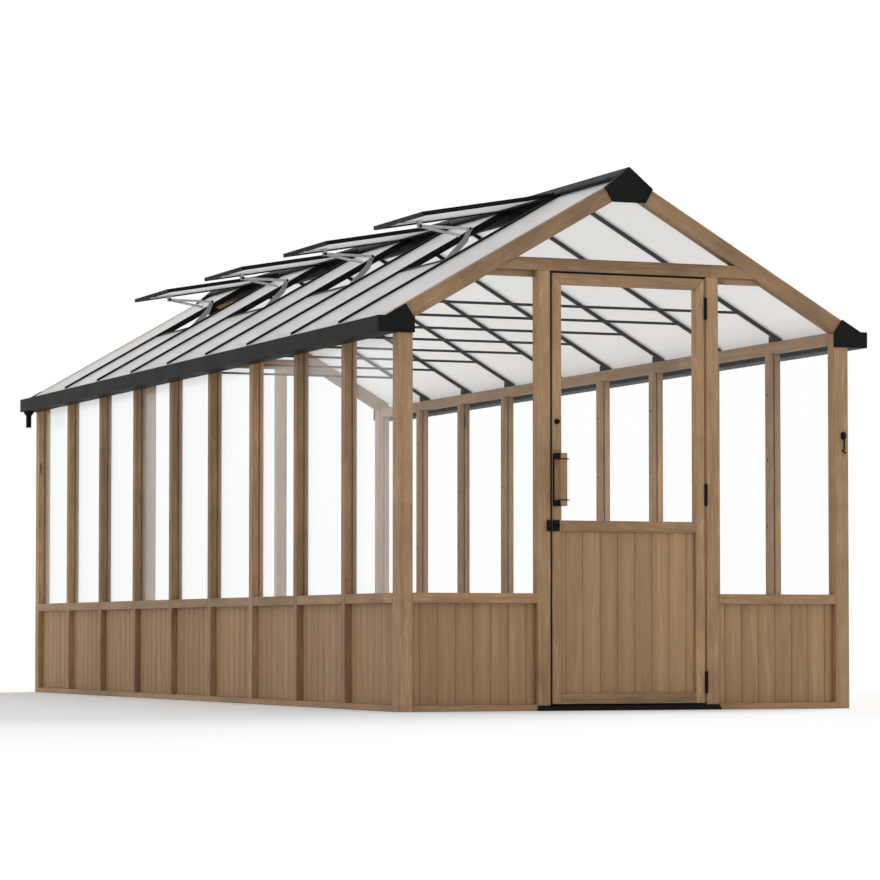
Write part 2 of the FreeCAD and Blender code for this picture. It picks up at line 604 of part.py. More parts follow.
vent_heel, vent_head = -cell("vent_heel"), cell("vent_head")
vent_end = cell("vent_length")
lower_rail = vent_end - cell("vent_rail")
head_rail = [on_vent(vent_heel, -VENT_HALF / 2), on_vent(vent_heel / 2, -VENT_HALF),
             on_vent(vent_head, -VENT_HALF), on_vent(vent_head, VENT_HALF), on_vent(vent_heel, VENT_HALF)]
lug_start = cell("hinge_down") - cell("lug_length") / 2
strip_top = cell("strip_height")
lug = [on_slope(LEFT, lug_start, strip_top), on_slope(LEFT, lug_start + cell("lug_length"), strip_top),
       on_slope(LEFT, lug_start + cell("lug_length"), strip_top + cell("lug_height")),
       on_slope(LEFT, lug_start, strip_top + cell("lug_height"))]
ROD = cell("rod_radius")
RAIL = cell("vent_rail")
hinge_rods = new_body("vent_rods")
rod_pads = [pad(hinge_rods, "XZ", [lug], FIRST_BAR - cell("lug_width") / 2, cell("lug_width")),
            pad(hinge_rods, "XZ", [lug], FIRST_BAR + PITCH - cell("lug_width") / 2, cell("lug_width")),
            pad(hinge_rods, "XZ", [Round(hinge_x, hinge_z, ROD)], FIRST_BAR, PITCH)]
repeat(hinge_rods, rod_pads, "Y", PITCH * 2, VENTS)

for number in range(1, VENTS + 1):
    name = f"vent_{number}"
    bar_y = FIRST_BAR + PITCH * (2 * (number - 1))
    low_y = bar_y + cell("vent_side_gap")
    wide = PITCH - cell("vent_side_gap") * 2
    middle = bar_y + PITCH / 2
    frame = new_body(f"{name}_frame")
    pad(frame, "XZ", [head_rail, Round(hinge_x, hinge_z, ROD + cell("running"))], low_y, wide)
    pad(frame, "XZ", [vent_box(lower_rail, -VENT_HALF, vent_end, VENT_HALF)], low_y, wide)
    for rail_y in (low_y, low_y + wide - RAIL):
        pad(frame, "XZ", [vent_box(vent_head, -VENT_HALF, lower_rail, VENT_HALF)], rail_y, RAIL)
    panel = prism(f"{name}_sheet", "XZ", [vent_box(vent_head, -SHEET / 2, lower_rail, SHEET / 2)],
                  low_y + RAIL, wide - RAIL * 2)
    bracket = new_body(f"{name}_bracket")
    bracket_out = BRACKET_EAR + EAR
    plate_low = -VENT_HALF - cell("opener_plate")
    pad(bracket, "XZ", [vent_box(BRACKET_DOWN - reach * 2, plate_low, vent_end, -VENT_HALF)],
        middle - bracket_out, bracket_out * 2)
    ear = vent_box(BRACKET_DOWN - reach, -cell("bracket_drop") - reach, BRACKET_DOWN + reach, plate_low)
    for ear_y in (middle - bracket_out, middle + BRACKET_EAR):
        pad(bracket, "XZ", [ear], ear_y, EAR)
    pad(bracket, "XZ", [Round(*bracket_pin, PIN)], middle - bracket_out, bracket_out * 2)
    arm = prism(f"{name}_arm", "XZ", [arm_outline(), Round(*base_pin, BORE)], middle - ARM / 2, ARM)
    links = new_body(f"{name}_links")
    link_thick = cell("link_thick")
    pad(links, "XZ", [flat_bar(bracket_pin, elbow, link_half, reach), Round(*bracket_pin, BORE)],
        middle - LINK_IN - link_thick, link_thick)
    pad(links, "XZ", [flat_bar(bracket_pin, brace_end, link_half, reach), Round(*bracket_pin, BORE)],
        middle + LINK_IN, link_thick)
    keep(frame, panel, bracket, arm, links)

# Door leaf
DOOR_EDGE = DOOR_SIDE - cell("door_gap")
STILE_IN = DOOR_EDGE - cell("stile")
DOOR_LOW = cell("door_bottom")
DOOR_TOP = TIE_LOW - cell("door_gap")
DOOR_HEAD = DOOR_TOP - cell("top_rail")
LOCK_TOP = cell("lock_rail_top")
LOCK_LOW = LOCK_TOP - cell("lock_rail")
KICK_TOP = DOOR_LOW + cell("bottom_rail")
DOOR_THICK = cell("door_thick")
stile = [(STILE_IN, DOOR_LOW), (DOOR_EDGE, DOOR_LOW), (DOOR_EDGE, DOOR_TOP), (STILE_IN, DOOR_HEAD)]
keep(prism("door_stiles", "XZ", both_sides(stile), FRONT, DOOR_THICK))
mitre = cell("rafter_gap")
top_rail = [(-STILE_IN + mitre, DOOR_HEAD), (STILE_IN - mitre, DOOR_HEAD), (DOOR_EDGE - mitre, DOOR_TOP),
            (-DOOR_EDGE + mitre, DOOR_TOP)]
keep(prism("door_rails", "XZ",
           [top_rail, rectangle(-STILE_IN, LOCK_LOW, STILE_IN, LOCK_TOP),
            rectangle(-STILE_IN, DOOR_LOW, STILE_IN, KICK_TOP)], FRONT, DOOR_THICK))
door_face = FRONT + cell("door_setback")
door_boards = new_body("door_boards")
board_panel(door_boards, "X", (-STILE_IN, STILE_IN), [(door_face, 1)], cell("door_board"),
            (KICK_TOP, LOCK_LOW), cell("door_first"))
keep(door_boards)
keep(prism("door_pane", "XZ", [rectangle(-STILE_IN, LOCK_TOP, STILE_IN, DOOR_HEAD)], door_face,
           cell("pane_thick")))
threshold = new_body("threshold")
pad(threshold, "YZ", [[(FRONT - cell("sill_ramp"), 0), (FRONT, 0), (FRONT, cell("sill_step")),
                       (FRONT - cell("sill_ramp"), cell("sill_nose"))]], -GABLE_OUT, GABLE_OUT * 2)
stop_face = FRONT + DOOR_THICK + cell("stop_gap")
stop_back = stop_face + cell("stop_thick")
pad(threshold, "YZ", [[(FRONT, 0), (stop_back, 0), (stop_back, cell("stop_top")), (stop_face, cell("stop_top")),
                       (stop_face, cell("sill_step")), (FRONT, cell("sill_step"))]], -DOOR_SIDE, DOOR_SIDE * 2)
keep(threshold)

# Door hinges: a leaf on the post, a leaf on the door and a pin through both
axis_x = DOOR_SIDE - cell("door_gap") / 2
axis_y = FRONT - cell("knuckle_out")
LEAF = cell("hinge_metal")
TALL = cell("hinge_length")
HINGE_LOW = cell("hinge_first") - TALL / 2
KNUCKLE = cell("knuckle_length")
SPLIT = (TALL - KNUCKLE) / 2
SLACK = cell("knuckle_gap")
knuckle = [Round(axis_x, axis_y, cell("knuckle_radius")),
           Round(axis_x, axis_y, cell("hinge_pin") + cell("running"))]
tab_y = FRONT - cell("hinge_pin")
leaf_end = FRONT + cell("hinge_leaf")
hinge_row = ("Z", (DOOR_TOP - cell("hinge_last") - cell("hinge_first")) / 2, 3)


def hinge_leaf(label, edge, inward, spans):
    """Leaf plate beside the gap, with a knuckle and its tab over each span of height."""
    body = new_body(label)
    far = edge + LEAF * inward
    low, high = (edge, far) if inward > 0 else (far, edge)
    pads = [pad(body, "XY", [rectangle(low, FRONT, high, leaf_end)], HINGE_LOW, TALL)]
    for span_low, span_tall in spans:
        pads.append(pad(body, "XY", knuckle, span_low, span_tall))
        pads.append(pad(body, "XY", [rectangle(low, tab_y, high, FRONT)], span_low, span_tall))
    repeat(body, pads, *hinge_row)
    keep(body)


hinge_leaf("hinge_post_leaves", DOOR_SIDE, -1,
           [(HINGE_LOW, SPLIT - SLACK), (HINGE_LOW + SPLIT + KNUCKLE + SLACK, SPLIT - SLACK)])
hinge_leaf("hinge_door_leaves", DOOR_EDGE, 1, [(HINGE_LOW + SPLIT, KNUCKLE)])
door_pins = prism("door_pins", "XY", [Round(axis_x, axis_y, cell("hinge_pin"))], HINGE_LOW, TALL, hinge_row)
keep(group("hinge_pins", [door_pins, hinge_rods]))

# Door handle: a square wooden bar held at its ends by two feet on a slim back plate
HANDLE_FRONT = FRONT - cell("handle_reach")
HANDLE_LONG = cell("handle_length")
STRAP = cell("strap")
BAR_FRONT = HANDLE_FRONT + STRAP
BAR_BACK = BAR_FRONT + cell("handle_depth")
HANDLE_X = DOOR_EDGE - cell("handle_inset")
bar_left = -HANDLE_X - cell("handle_width") / 2
bar_right = bar_left + cell("handle_width")
HANDLE_LOW = LOCK_TOP + cell("handle_above")
keep(prism("handle_bar", "XY", [rectangle(bar_left, BAR_FRONT, bar_right, BAR_BACK)], HANDLE_LOW, HANDLE_LONG))
FOOT = cell("foot_tall")
foot_left = -DOOR_EDGE + cell("backplate_edge")
mounts = new_body("handle_mounts")
foot = pad(mounts, "XY", [rectangle(foot_left, BAR_BACK, foot_left + cell("foot_wide"), FRONT)],
           HANDLE_LOW, FOOT)
cheek = pad(mounts, "XY", [rectangle(bar_left - STRAP, BAR_FRONT, bar_left, BAR_BACK + STRAP)],
            HANDLE_LOW, FOOT)
repeat(mounts, [foot, cheek], "Z", HANDLE_LONG - FOOT, 2)
clip_left, clip_right = bar_left - STRAP, bar_right + STRAP
tail = clip_right + cell("strap_tail")
clip = [(clip_left, HANDLE_FRONT), (tail, HANDLE_FRONT), (tail, BAR_FRONT), (clip_right, BAR_FRONT),
        (clip_right, BAR_BACK + STRAP), (clip_left, BAR_BACK + STRAP), (clip_left, BAR_BACK),
        (bar_right, BAR_BACK), (bar_right, BAR_FRONT), (bar_left, BAR_FRONT), (bar_left, BAR_BACK - STRAP),
        (clip_left, BAR_BACK - STRAP)]
strap_in, strap_tall = cell("strap_inset"), cell("strap_height")
clip_pad = pad(mounts, "XY", [clip], HANDLE_LOW + strap_in - strap_tall / 2, strap_tall)
repeat(mounts, [clip_pad], "Z", HANDLE_LONG - strap_in * 2, 2)
pad(mounts, "XY", [rectangle(foot_left, FRONT - METAL, foot_left + cell("backplate_width"), FRONT)], HANDLE_LOW,
    HANDLE_LONG)
keep(mounts)

# Round eye on the door that the hold-open hook catches
eye_centre = (-DOOR_EDGE + cell("eye_inset"), cell("eye_height"))
EYE_PLATE = cell("eye_plate")
HEAD_LENGTH = (cell("eye_reach") - EYE_PLATE) / 2
eye = new_body("hold_open_eye")
pad(eye, "XZ", [Round(*eye_centre, cell("eye_base"))], FRONT - EYE_PLATE, EYE_PLATE)
pad(eye, "XZ", [Round(*eye_centre, cell("eye_stem"))], FRONT - EYE_PLATE - HEAD_LENGTH, HEAD_LENGTH)
pad(eye, "XZ", [Round(*eye_centre, cell("eye_head"))], FRONT - cell("eye_reach"), HEAD_LENGTH)
keep(eye)

# Sliding latch: case on the door, bolt drawn back with its tab in the open front, keeper on the post
LATCH = LOCK_TOP - cell("lock_rail") / 2
latch_low = LATCH - cell("latch_tall") / 2
latch_high = LATCH + cell("latch_tall") / 2
latch_face = FRONT - cell("latch_deep")
bolt_low = LATCH - cell("bolt_tall") / 2
bolt_high = LATCH + cell("bolt_tall") / 2
bolt_back = FRONT - cell("bolt_floor")
bolt_front = bolt_back - cell("bolt_thick")
tab_low = LATCH - cell("bolt_tab_tall") / 2
tab_high = LATCH + cell("bolt_tab_tall") / 2
play = cell("bolt_play")
slot_front, slot_back = bolt_front - play, bolt_back + play
latch_outline = rectangle(latch_face, latch_low, FRONT, latch_high)
slot = rectangle(slot_front, bolt_low - play, slot_back, bolt_high + play)
case_outline = [(FRONT, latch_low), (FRONT, latch_high), (latch_face, latch_high),
                (latch_face, tab_high + play), (slot_front, tab_high + play), (slot_front, bolt_high + play),
                (slot_back, bolt_high + play), (slot_back, bolt_low - play), (slot_front, bolt_low - play),
                (slot_front, tab_low - play), (latch_face, tab_low - play), (latch_face, latch_low)]
keep(prism("latch_case", "YZ", [case_outline], -DOOR_EDGE, cell("latch_case")))
keeper_start = -DOOR_SIDE - cell("keeper_gap") - cell("keeper_width")
keep(prism("latch_keeper", "YZ", [latch_outline, slot], keeper_start, cell("keeper_width")))
bolt = new_body("latch_bolt")
pad(bolt, "YZ", [rectangle(bolt_front, bolt_low, bolt_back, bolt_high)], -DOOR_EDGE, cell("bolt_long"))
pad(bolt, "YZ", [rectangle(FRONT - cell("bolt_tab_reach"), tab_low, bolt_front, tab_high)],
    -DOOR_EDGE + cell("bolt_long") - cell("bolt_tab"), cell("bolt_tab"))
keep(bolt)

# Hold-open hook, hanging from a pin on an oval plate on the right corner post
hook_x, hook_z = HALF_W - cell("hook_inset"), cell("hook_height")
HOOK_PLATE = cell("hook_plate_thick")
hook_y = FRONT - cell("hook_out")
EYE = cell("hook_eye")
side_gap = cell("hook_side_gap")
HOOK_EAR = cell("hook_ear")
base = new_body("hook_base")
PLATE_HALF, plate_rise = cell("hook_plate"), cell("hook_plate_rise")
for end_z in (hook_z - plate_rise, hook_z + plate_rise):
    pad(base, "XZ", [Round(hook_x, end_z, PLATE_HALF)], FRONT - HOOK_PLATE, HOOK_PLATE)
pad(base, "XZ", [rectangle(hook_x - PLATE_HALF, hook_z - plate_rise, hook_x + PLATE_HALF, hook_z + plate_rise)],
    FRONT - HOOK_PLATE, HOOK_PLATE)
ear_loop = rectangle(hook_y - EYE, hook_z - EYE, FRONT - HOOK_PLATE, hook_z + EYE)
for ear_x in (hook_x - EYE - side_gap - HOOK_EAR, hook_x + EYE + side_gap):
    pad(base, "YZ", [ear_loop], ear_x, HOOK_EAR)
pin_half = EYE + side_gap + HOOK_EAR
pad(base, "YZ", [Round(hook_y, hook_z, cell("hook_pin"))], hook_x - pin_half, pin_half * 2)
keep(base)
shank = cell("hook_shank")
tip = cell("hook_tip")
end_z = hook_z - cell("hook_length")
hook_outline = [(hook_x - shank, hook_z - EYE), (hook_x - shank, end_z + tip * 2),
                (hook_x - tip, end_z + tip),
                (hook_x + tip / 2, end_z), (hook_x + tip, end_z + tip / 2), (hook_x - shank, end_z + tip),
                (hook_x + shank, end_z + tip * 2), (hook_x + shank, hook_z - EYE)]
hook = new_body("hold_open_hook")
pad(hook, "YZ", [Round(hook_y, hook_z, EYE), Round(hook_y, hook_z, cell("hook_pin") + cell("running"))],
    hook_x - EYE, EYE * 2)
pad(hook, "XZ", [hook_outline], hook_y - shank, shank * 2)
keep(hook)

doc.recompute()
for item in doc.Objects:
    if "Invalid" in item.State or "Error" in item.State:
        raise RuntimeError(f"{item.Label} failed: {item.State}")
for part in PARTS:
    if part.Shape.isNull() or not part.Shape.isValid():
        raise RuntimeError(f"{part.Label} has no valid shape")
os.makedirs("parts", exist_ok=True)
for part in PARTS:
    part.Shape.exportStep(f"parts/{part.Label}.step")
print(f"{len(PARTS)} parts, {sum(len(part.Shape.Solids) for part in PARTS)} solids")
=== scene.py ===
"""Wooden greenhouse: timber, panes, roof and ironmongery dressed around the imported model.

Metres. +Z up, the door end faces -Y and the vented slope faces -X.
"""
from __future__ import annotations

import json
import logging
import math
import random
from dataclasses import dataclass, field
from enum import Enum

import bmesh
import bpy
from mathutils import Matrix, Vector

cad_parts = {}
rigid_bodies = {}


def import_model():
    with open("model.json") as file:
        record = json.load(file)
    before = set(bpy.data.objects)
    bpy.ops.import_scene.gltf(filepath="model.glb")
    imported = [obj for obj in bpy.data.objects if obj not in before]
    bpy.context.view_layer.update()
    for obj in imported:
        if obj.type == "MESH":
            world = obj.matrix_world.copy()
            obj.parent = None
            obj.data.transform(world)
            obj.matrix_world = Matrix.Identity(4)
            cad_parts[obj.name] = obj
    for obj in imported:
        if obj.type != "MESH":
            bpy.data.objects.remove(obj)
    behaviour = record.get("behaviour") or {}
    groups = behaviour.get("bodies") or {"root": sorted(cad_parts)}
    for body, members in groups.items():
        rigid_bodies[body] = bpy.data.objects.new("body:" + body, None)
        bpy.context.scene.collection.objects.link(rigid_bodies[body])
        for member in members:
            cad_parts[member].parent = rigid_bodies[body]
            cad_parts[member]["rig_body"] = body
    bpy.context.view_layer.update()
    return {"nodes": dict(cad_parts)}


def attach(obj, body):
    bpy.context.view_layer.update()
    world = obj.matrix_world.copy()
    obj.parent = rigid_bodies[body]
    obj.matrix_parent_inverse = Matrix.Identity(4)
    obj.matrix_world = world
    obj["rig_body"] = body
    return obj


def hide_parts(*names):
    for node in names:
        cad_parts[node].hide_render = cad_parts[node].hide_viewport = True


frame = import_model()
LOG = logging.getLogger("greenhouse")

Socket = bpy.types.NodeSocket
Triple = tuple[float, float, float]
Colour = Triple
Span = tuple[float, float]
MM = 0.001
WELD = 0.01 * MM
FLAT_ANGLE = math.radians(1.0)
HARD_ANGLE = math.radians(25.0)
EASE_SEGMENTS = 2
# Rise of a unit of length from which a piece counts as upright.
UPRIGHT = 0.9
# Reach of the random places in the tree that pieces are cut from, along the grain and across it.
TREE_LENGTH = 40
TREE_WIDTH = 9
# Radius and height of a screw head's rings from its sunk drive to its seat, in head radii.
HEAD_PROFILE = ((0.34, 0.12), (0.42, 0.42), (0.78, 0.34), (1.0, 0.1), (1.0, -0.05))
HEAD_STEPS = 12
GRAIN = "grain"
TONE = "tone"
# Tones below this one are frame timber, and those from it on are boards.
BOARD_TONE = 1.0
BOARD_TONES = (BOARD_TONE, 2.0 * BOARD_TONE)
FRAME_TONES = (0.0, 0.72)
# Tone span of each of these frame nodes; the sills' span is raised as painted light, against the shade that
# falls on them by the floor.
NODE_TONES_AND_PAINTED_LIGHT = {
    "corner_posts": (0.45, 0.60),
    "gable_posts": (0.38, 0.56),
    "gable_rafters": (0.0, 0.14),
    "tie_beams": (0.06, 0.22),
    # Sills raised as painted light against their shade by the floor.
    "sills": (0.40, 0.62),
    "mid_rails": (0.12, 0.45),
    "door_stiles": (0.36, 0.66),
    "door_rails": (0.05, 0.50),
}
# Tone of the steel of each part of a vent opener; the arm's low tone is painted shade.
STEEL_TONES_AND_PAINTED_SHADE = {"arm": 0.15, "links": 1.0, "bracket": 0.8}
# Sockets of a Mix node: first value, second value and result.
NUMBER_MIX = (2, 3, 0)
COLOUR_MIX = (6, 7, 2)
# Spans that waves and noise come in.
UNIT = (0.0, 1.0)
WAVE = (-1.0, 1.0)
CLOUD = (0.35, 0.65)
WIDE_CLOUD = (0.3, 0.7)
WHITE = (1.0, 1.0, 1.0, 1.0)
FRONT_FACE = -3.004
VENTS = 4


class Slot(Enum):
    """Material slots of the record."""

    TIMBER = "stained_timber"
    PANE = "clear_pane"
    SHEET = "roof_sheet"
    COAT = "dark_coated_aluminium"
    STEEL = "grey_steel"


class Axis(Enum):
    """Direction in which a screw head faces."""

    LEFT = (-1.0, 0.0, 0.0)
    RIGHT = (1.0, 0.0, 0.0)
    FRONT = (0.0, -1.0, 0.0)
    REAR = (0.0, 1.0, 0.0)


class Graph:
    """Node tree of a material or world, with short calls for adding and joining nodes."""

    noise_roughness: float = 0.6

    def __init__(self, owner: bpy.types.Material | bpy.types.World) -> None:
        """Start an empty tree.

        Args:
            owner: material or world that the tree belongs to.
        """
        owner.use_nodes = True
        self.owner = owner
        self.nodes = owner.node_tree.nodes
        self.links = owner.node_tree.links
        self.nodes.clear()

    def add(self, kind: str, inputs: dict[str | int, object] | None = None,
            **settings: object) -> bpy.types.Node:
        """Add one node.

        Args:
            kind: node type without its ShaderNode prefix.
            inputs: name or place of an input to a value or to the output socket that feeds it.
            settings: properties of the node itself.

        Returns:
            The new node.
        """
        node = self.nodes.new(f"ShaderNode{kind}")
        for key, value in settings.items():
            setattr(node, key, value)
        for key, value in (inputs or {}).items():
            if isinstance(value, Socket):
                self.links.new(value, node.inputs[key])
            else:
                node.inputs[key].default_value = value
        return node

    def math(self, operation: str, *values: Socket | float) -> Socket:
        """Work out one number from others.

        Args:
            operation: name of the sum.
            values: its terms in order, each a number or a socket.

        Returns:
            The result.
        """
        return self.add("Math", dict(enumerate(values)), operation=operation).outputs[0]

    def noise(self, vector: Socket, scale: float, detail: float = 4.0) -> Socket:
        """Noise over a vector.

        Args:
            vector: place at which it is read.
            scale: waves in a unit of the vector.
            detail: number of finer layers.

        Returns:
            The noise as one number.
        """
        values = {"Vector": vector, "Scale": scale, "Detail": detail, "Roughness": self.noise_roughness}
        return self.add("TexNoise", values).outputs["Fac"]

    def stretched_noise(self, vector: Socket, scale: Triple, detail: float) -> Socket:
        """Noise with its own scale along each axis of a vector.

        Args:
            vector: place at which it is read.
            scale: waves in a unit along the three axes.
            detail: number of finer layers.

        Returns:
            The noise as one number.
        """
        return self.noise(self.stretch(vector, scale), 1.0, detail)

    def stretch(self, vector: Socket, scale: Triple) -> Socket:
        """Scale a vector differently along its three axes."""
        return self.add("Mapping", {"Vector": vector, "Scale": scale}).outputs["Vector"]

    def span(self, value: Socket, given: Span, wanted: Span) -> Socket:
        """Map a span of numbers to another one, with its ends held.

        Args:
            value: number to map.
            given: ends of the span that it comes in.
            wanted: ends of the span that it goes to.

        Returns:
            The mapped number.
        """
        (start, end), (low, high) = given, wanted
        values = {"Value": value, "From Min": start, "From Max": end, "To Min": low, "To Max": high}
        return self.add("MapRange", values).outputs["Result"]

    def blend(self, factor: Socket, first: Socket | Colour, second: Socket | Colour) -> Socket:
        """Mix two colours.

        Args:
            factor: share of the second colour.
            first: colour or socket.
            second: colour or socket.

        Returns:
            The mixed colour.
        """
        one, two, result = COLOUR_MIX
        ends = {place: value if isinstance(value, Socket) else (*value, 1.0)
                for place, value in ((one, first), (two, second))}
        return self.add("Mix", {0: factor} | ends, data_type="RGBA").outputs[result]

    def between(self, factor: Socket, first: Socket, second: Socket) -> Socket:
        """Mix two numbers.

        Args:
            factor: share of the second number.
            first: number.
            second: number.

        Returns:
            The mixed number.
        """
        one, two, result = NUMBER_MIX
        return self.add("Mix", {0: factor, one: first, two: second}).outputs[result]

    def shaded(self, colour: Socket, level: Socket) -> Socket:
        """Colour made darker or lighter by a factor."""
        return self.add("VectorMath", {0: colour, "Scale": level}, operation="SCALE").outputs["Vector"]

    def bump(self, height: Socket, strength: float, distance: float) -> Socket:
        """Bump normal from a height."""
        values = {"Height": height, "Strength": strength, "Distance": distance}
        return self.add("Bump", values).outputs["Normal"]

    def layered(self, share: Socket | float, first: bpy.types.Node, second: bpy.types.Node) -> bpy.types.Node:
        """Mix two shaders.

        Args:
            share: share of the second shader.
            first: shader node.
            second: shader node.

        Returns:
            The node that mixes them.
        """
        return self.add("MixShader", {0: share, 1: first.outputs[0], 2: second.outputs[0]})

    def surface(self, shader: bpy.types.Node) -> bpy.types.Material:
        """Show a shader on the surface, and give the finished material."""
        self.add("OutputMaterial", {"Surface": shader.outputs[0]})
        return self.owner


@dataclass(frozen=True)
class StainedTimber:
    """Planed softwood under a brown stain, end-jointed from short staves, with grain along each piece."""

    name: str = "stained_timber"
    light: Colour = (0.482, 0.303, 0.162)
    dark: Colour = (0.345, 0.205, 0.102)
    knot: Colour = (0.085, 0.042, 0.020)
    fleck: Colour = (0.640, 0.450, 0.280)
    fine_detail: float = 2.0
    figure_scale: Triple = (0.7, 7.0, 7.0)
    figure_detail: float = 3.0
    figure_bend: float = 5.0
    streak_scale: Triple = (0.9, 26.0, 26.0)
    streak_detail: float = 5.0
    streak_span: Span = (0.32, 0.68)
    fibre_scale: Triple = (3.0, 190.0, 190.0)
    fibre_share: float = 0.22
    fleck_scale: Triple = (9.0, 125.0, 125.0)
    fleck_span: Span = (0.54, 0.72)
    fleck_share: float = 0.50
    blotch_scale: Triple = (5.0, 9.0, 9.0)
    blotch_shades: Span = (-0.10, 0.07)
    stave_length: float = 0.45
    stave_contrast: float = 0.08
    frame_shades: Span = (0.70, 1.25)
    board_shades: Span = (0.92, 1.10)
    knot_scale: Triple = (2.1, 11.0, 11.0)
    knot_size: float = 0.11
    knot_core: float = 0.45
    knot_depth: float = 0.8
    knot_share: float = 0.80
    relief: float = 0.5 * MM
    relief_strength: float = 0.35
    roughness: Span = (0.50, 0.68)
    specular: float = 0.35

    def material(self) -> bpy.types.Material:
        """Build the timber from the grain and tone kept on the meshes.

        Returns:
            The finished material.
        """
        graph = Graph(bpy.data.materials.new(self.name))
        grain = graph.add("Attribute", attribute_name=GRAIN).outputs["Vector"]
        tone = graph.add("Attribute", attribute_name=TONE).outputs["Fac"]
        sawn = graph.math("LESS_THAN", tone, BOARD_TONE)
        figure = graph.stretched_noise(grain, self.figure_scale, self.figure_detail)
        shift = graph.math("MULTIPLY", figure, self.figure_bend)
        straight = graph.stretch(grain, self.streak_scale)
        bent = graph.add("VectorMath", {0: straight, 1: shift}, operation="ADD").outputs["Vector"]
        streak = graph.noise(bent, 1.0, self.streak_detail)
        fibre = graph.stretched_noise(grain, self.fibre_scale, self.fine_detail)
        spots = graph.stretched_noise(grain, self.fleck_scale, self.fine_detail)
        flecks = graph.math("MULTIPLY", graph.span(spots, self.fleck_span, (0.0, self.fleck_share)), sawn)
        colour = graph.blend(graph.span(streak, self.streak_span, UNIT), self.dark, self.light)
        colour = graph.blend(graph.span(fibre, CLOUD, (0.0, self.fibre_share)), colour, self.dark)
        colour = graph.blend(flecks, colour, self.fleck)
        colour = graph.blend(self.knots(graph, grain), colour, self.knot)
        shader = graph.add("BsdfPrincipled", {
            "Base Color": graph.shaded(colour, self.level(graph, grain, tone, sawn)),
            "Normal": graph.bump(graph.math("ADD", streak, fibre), self.relief_strength, self.relief),
            "Roughness": graph.span(fibre, WIDE_CLOUD, self.roughness),
            "Specular IOR Level": self.specular})
        return graph.surface(shader)

    def knots(self, graph: Graph, grain: Socket) -> Socket:
        """Scattered knots.

        Args:
            graph: tree of the material.
            grain: place in the timber.

        Returns:
            The share of the knot's colour.
        """
        cells = graph.add("TexVoronoi", {"Vector": graph.stretch(grain, self.knot_scale), "Scale": 1.0})
        draw = graph.add("SeparateColor", {"Color": cells.outputs["Color"]}).outputs[0]
        chosen = graph.math("GREATER_THAN", draw, self.knot_share)
        edge = (self.knot_size * self.knot_core, self.knot_size)
        depth = graph.span(cells.outputs["Distance"], edge, (self.knot_depth, 0.0))
        return graph.math("MULTIPLY", depth, chosen)

    def level(self, graph: Graph, grain: Socket, tone: Socket, sawn: Socket) -> Socket:
        """Lightness of a piece from its tone, which on the sills is raised as painted light, and of its
        staves and of its blotches.

        Args:
            graph: tree of the material.
            grain: place in the timber.
            tone: tone of the piece.
            sawn: 1 on frame timber and 0 on boards.

        Returns:
            The factor on the colour.
        """
        along = graph.add("SeparateXYZ", {0: grain}).outputs["X"]
        stave = graph.math("SNAP", along, self.stave_length)
        draw = graph.add("TexWhiteNoise", {"W": stave}, noise_dimensions="1D").outputs["Value"]
        contrast = (-self.stave_contrast, self.stave_contrast)
        joined = graph.math("MULTIPLY", graph.span(draw, UNIT, contrast), sawn)
        blotch = graph.stretched_noise(grain, self.blotch_scale, self.fine_detail)
        cloudy = graph.math("MULTIPLY_ADD", graph.span(blotch, CLOUD, self.blotch_shades), sawn, joined)
        board = graph.span(tone, BOARD_TONES, self.board_shades)
        timber = graph.span(tone, (0.0, BOARD_TONE), self.frame_shades)
        return graph.math("ADD", graph.between(sawn, board, timber), cloudy)


@dataclass(frozen=True)
class PowderCoat:
    """Charcoal powder coat with a fine orange-peel skin."""

    name: str = "charcoal_powder_coat"
    deep: Colour = (0.006, 0.006, 0.0065)
    worn: Colour = (0.011, 0.011, 0.0115)
    peel_scale: float = 420.0
    peel_detail: float = 2.0
    cloud_scale: float = 5.0
    relief: float = 0.06 * MM
    relief_strength: float = 0.4
    roughness: Span = (0.52, 0.64)
    specular: float = 0.1

    def material(self) -> bpy.types.Material:
        """Build the coating.

        Returns:
            The finished material.
        """
        graph = Graph(bpy.data.materials.new(self.name))
        place = graph.add("TexCoord").outputs["Object"]
        cloud = graph.noise(place, self.cloud_scale)
        peel = graph.noise(place, self.peel_scale, self.peel_detail)
        shader = graph.add("BsdfPrincipled", {
            "Base Color": graph.blend(graph.span(cloud, CLOUD, UNIT), self.deep, self.worn),
            "Normal": graph.bump(peel, self.relief_strength, self.relief),
            "Roughness": graph.span(cloud, WIDE_CLOUD, self.roughness),
            "Specular IOR Level": self.specular})
        return graph.surface(shader)


@dataclass(frozen=True)
class RoofSheet:
    """White translucent twin-wall sheet with flutes that run down the slope."""

    name: str = "white_roof_sheet"
    body: Colour = (0.97, 0.97, 0.97)
    shade: Colour = (0.92, 0.925, 0.925)
    glow: Colour = (0.95, 0.95, 0.95)
    tint: Colour = (0.97, 0.97, 0.97)
    flutes_per_metre: float = 95.0
    flute_share: float = 0.5
    lit_through: float = 0.33
    clear: float = 0.25
    relief: float = 0.3 * MM
    relief_strength: float = 0.25
    roughness: float = 0.3

    def material(self) -> bpy.types.Material:
        """Build the sheet, partly lit from behind and slightly see-through.

        Returns:
            The finished material.
        """
        graph = Graph(bpy.data.materials.new(self.name))
        place = graph.add("TexCoord").outputs["Object"]
        across = graph.add("SeparateXYZ", {0: place}).outputs["Y"]
        flute = graph.math("SINE", graph.math("MULTIPLY", across, self.flutes_per_metre * math.tau))
        lines = graph.span(flute, WAVE, (0.0, self.flute_share))
        skin = graph.add("BsdfPrincipled", {
            "Base Color": graph.blend(lines, self.body, self.shade),
            "Normal": graph.bump(flute, self.relief_strength, self.relief),
            "Roughness": self.roughness})
        behind = graph.add("BsdfTranslucent", {"Color": (*self.glow, 1.0)})
        open_part = graph.add("BsdfTransparent", {"Color": (*self.tint, 1.0)})
        lit = graph.layered(self.lit_through, skin, behind)
        return graph.surface(graph.layered(self.clear, lit, open_part))


